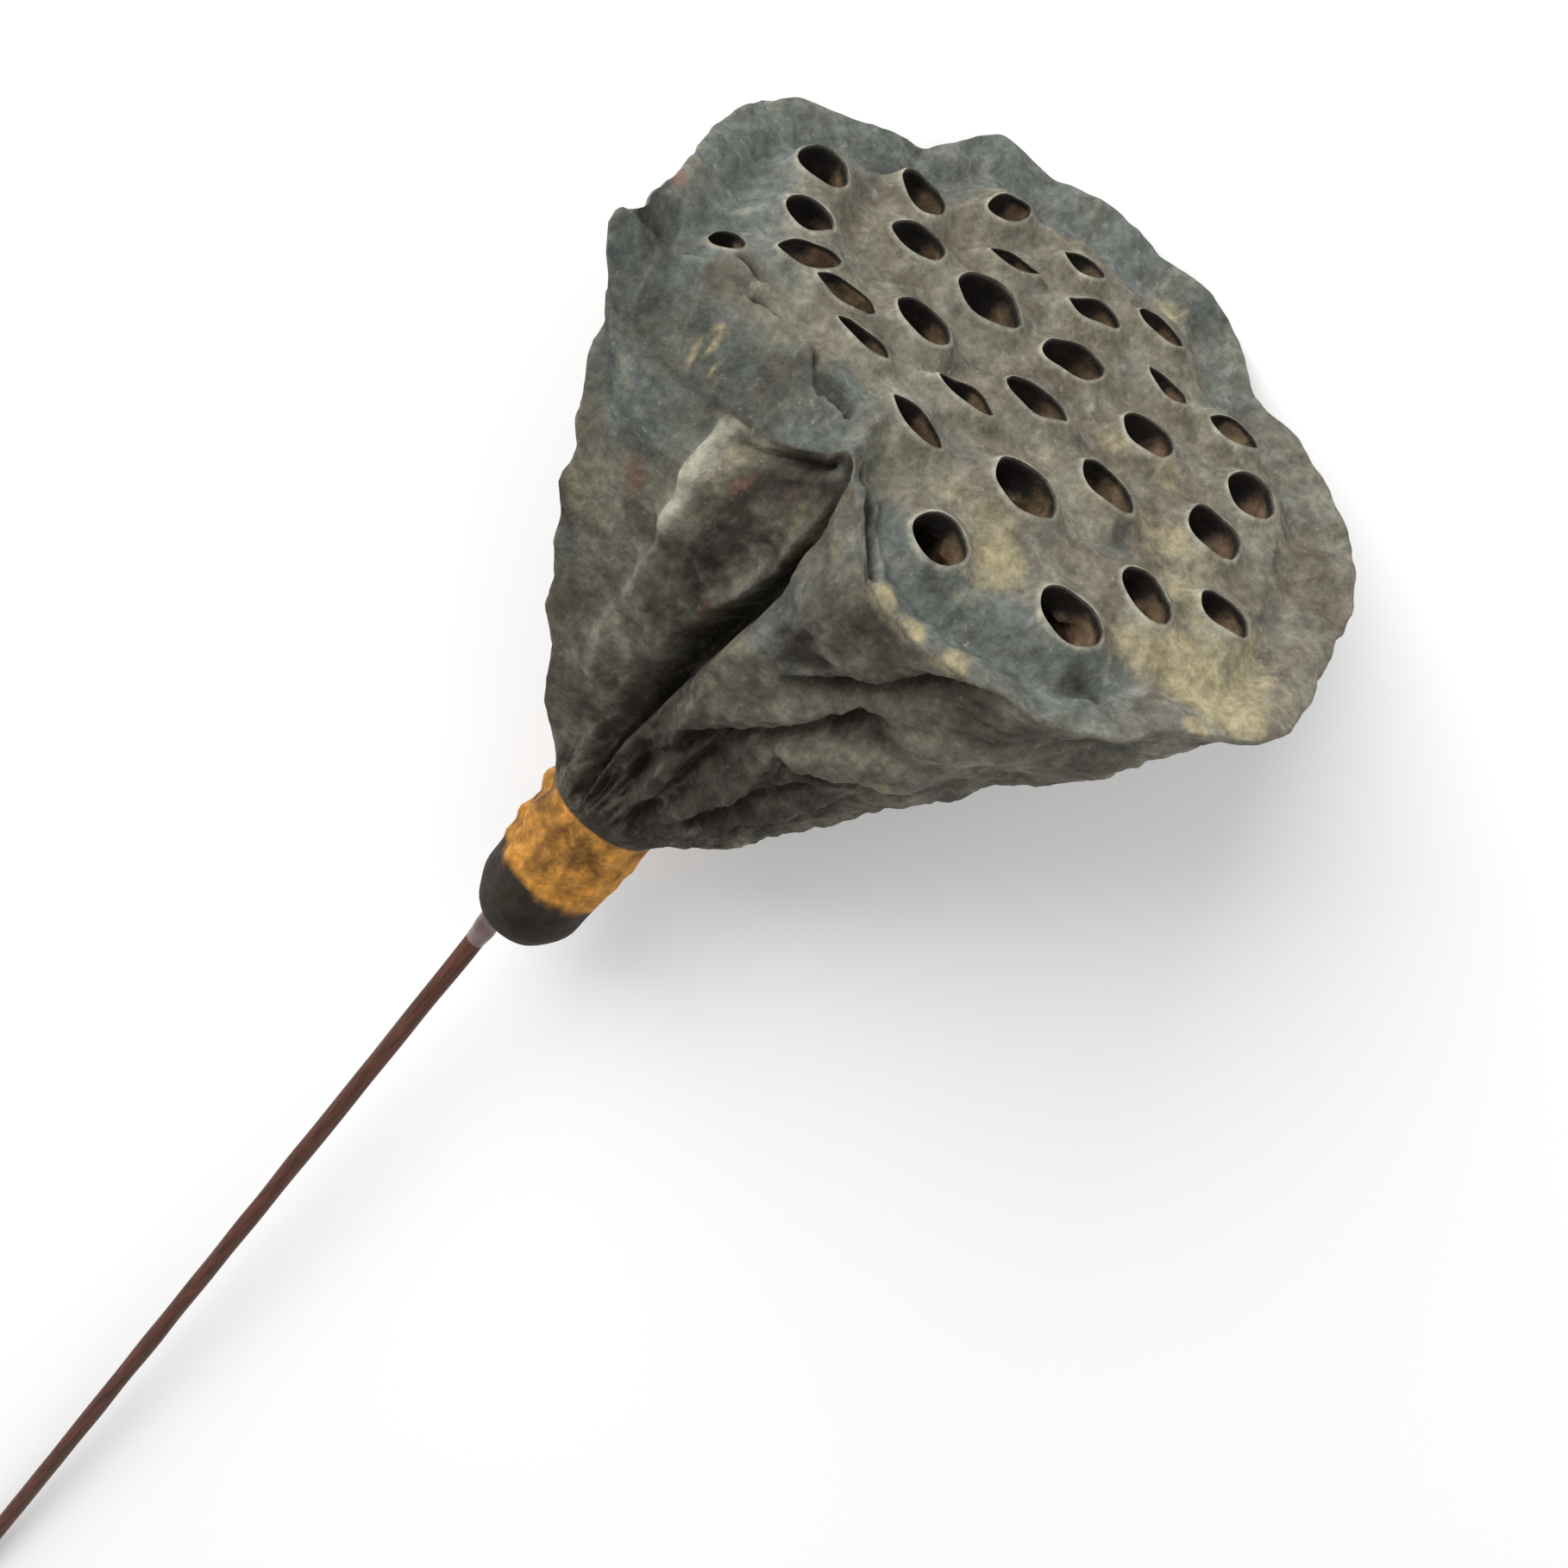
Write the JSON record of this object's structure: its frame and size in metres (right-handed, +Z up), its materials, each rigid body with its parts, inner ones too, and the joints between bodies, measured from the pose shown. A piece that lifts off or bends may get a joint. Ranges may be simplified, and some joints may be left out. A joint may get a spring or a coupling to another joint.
{
  "type": "dried lotus pod",
  "caption": "Dried lotus seed pod with open empty seed chambers, a wavy rim and a cut stalk stub, glued on a thin brown stick, lying on its rim.",
  "frame": {"origin": "middle of the bounding box, on the floor that the pod lies on", "axes": "+Z up, +X along the length from the free end of the stick to the pod"},
  "size_m": [0.2896, 0.0798, 0.0553],
  "materials": {
    "dry_pod": "dull dry plant skin, grey-brown with tan and dark patches",
    "stick_wood": "brown, slightly satin",
    "dry_glue": "mauve-grey dried glue, slightly shiny"
  },
  "bodies": {
    "root": {"lotus_pod": "dry_pod", "stick": "stick_wood", "glue": "dry_glue"}
  },
  "joints": []
}
